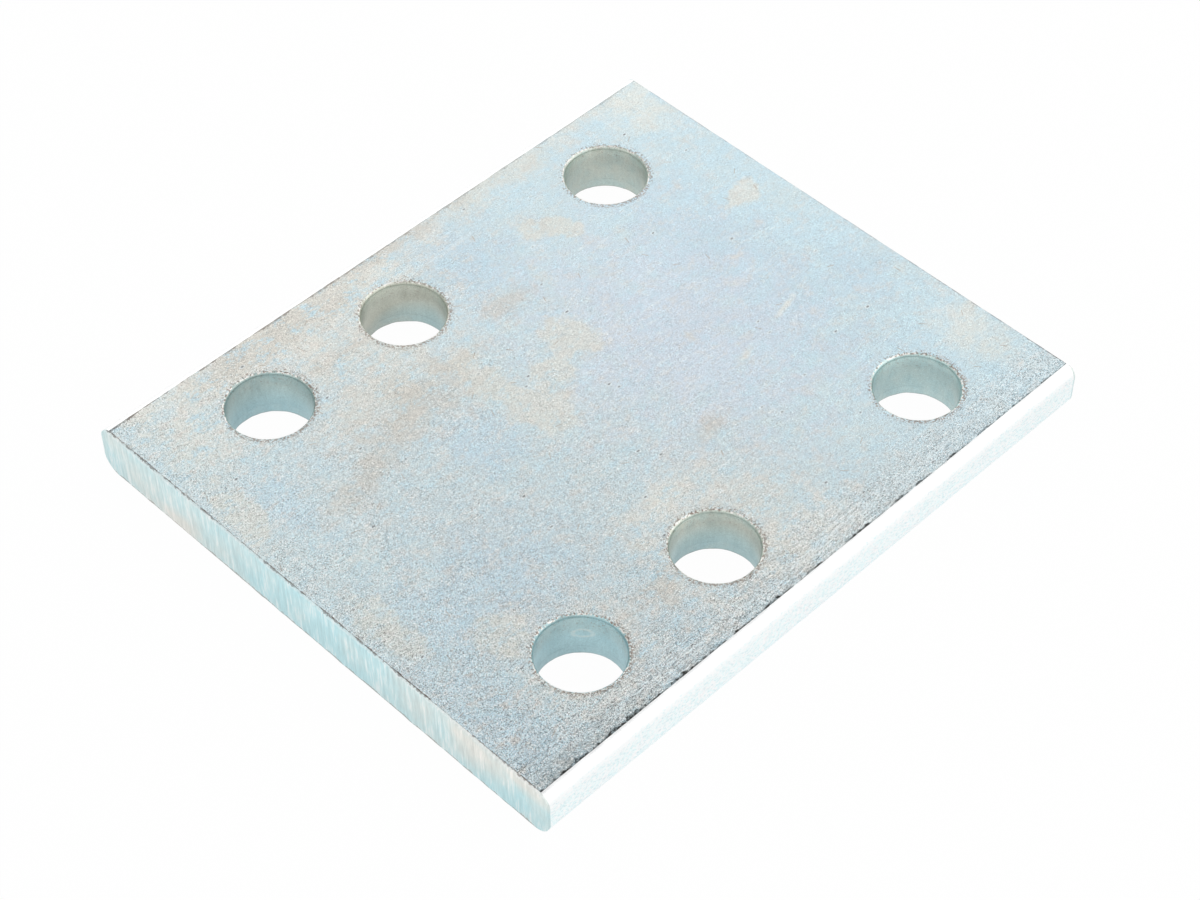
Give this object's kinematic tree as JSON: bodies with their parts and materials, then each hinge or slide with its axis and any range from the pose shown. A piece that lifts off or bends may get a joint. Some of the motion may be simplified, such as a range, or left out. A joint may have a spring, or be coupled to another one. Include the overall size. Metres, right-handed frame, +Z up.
{
  "type": "drop plate",
  "caption": "Flat zinc-plated steel drop plate with rolled long edges and punched bolt holes in pairs, for mounting a tow ball lower than its bracket.",
  "frame": {"origin": "under the middle of the plate, on the lower face that it lies on", "axes": "+X across the bar towards its right rolled edge, +Y along the bar from the end with two close pairs of holes to the other end, +Z up through the thickness"},
  "size_m": [0.13, 0.152, 0.012],
  "materials": {
    "zinc_plate": "satin"
  },
  "bodies": {
    "root": {"drop_plate": "zinc_plate"}
  },
  "joints": []
}
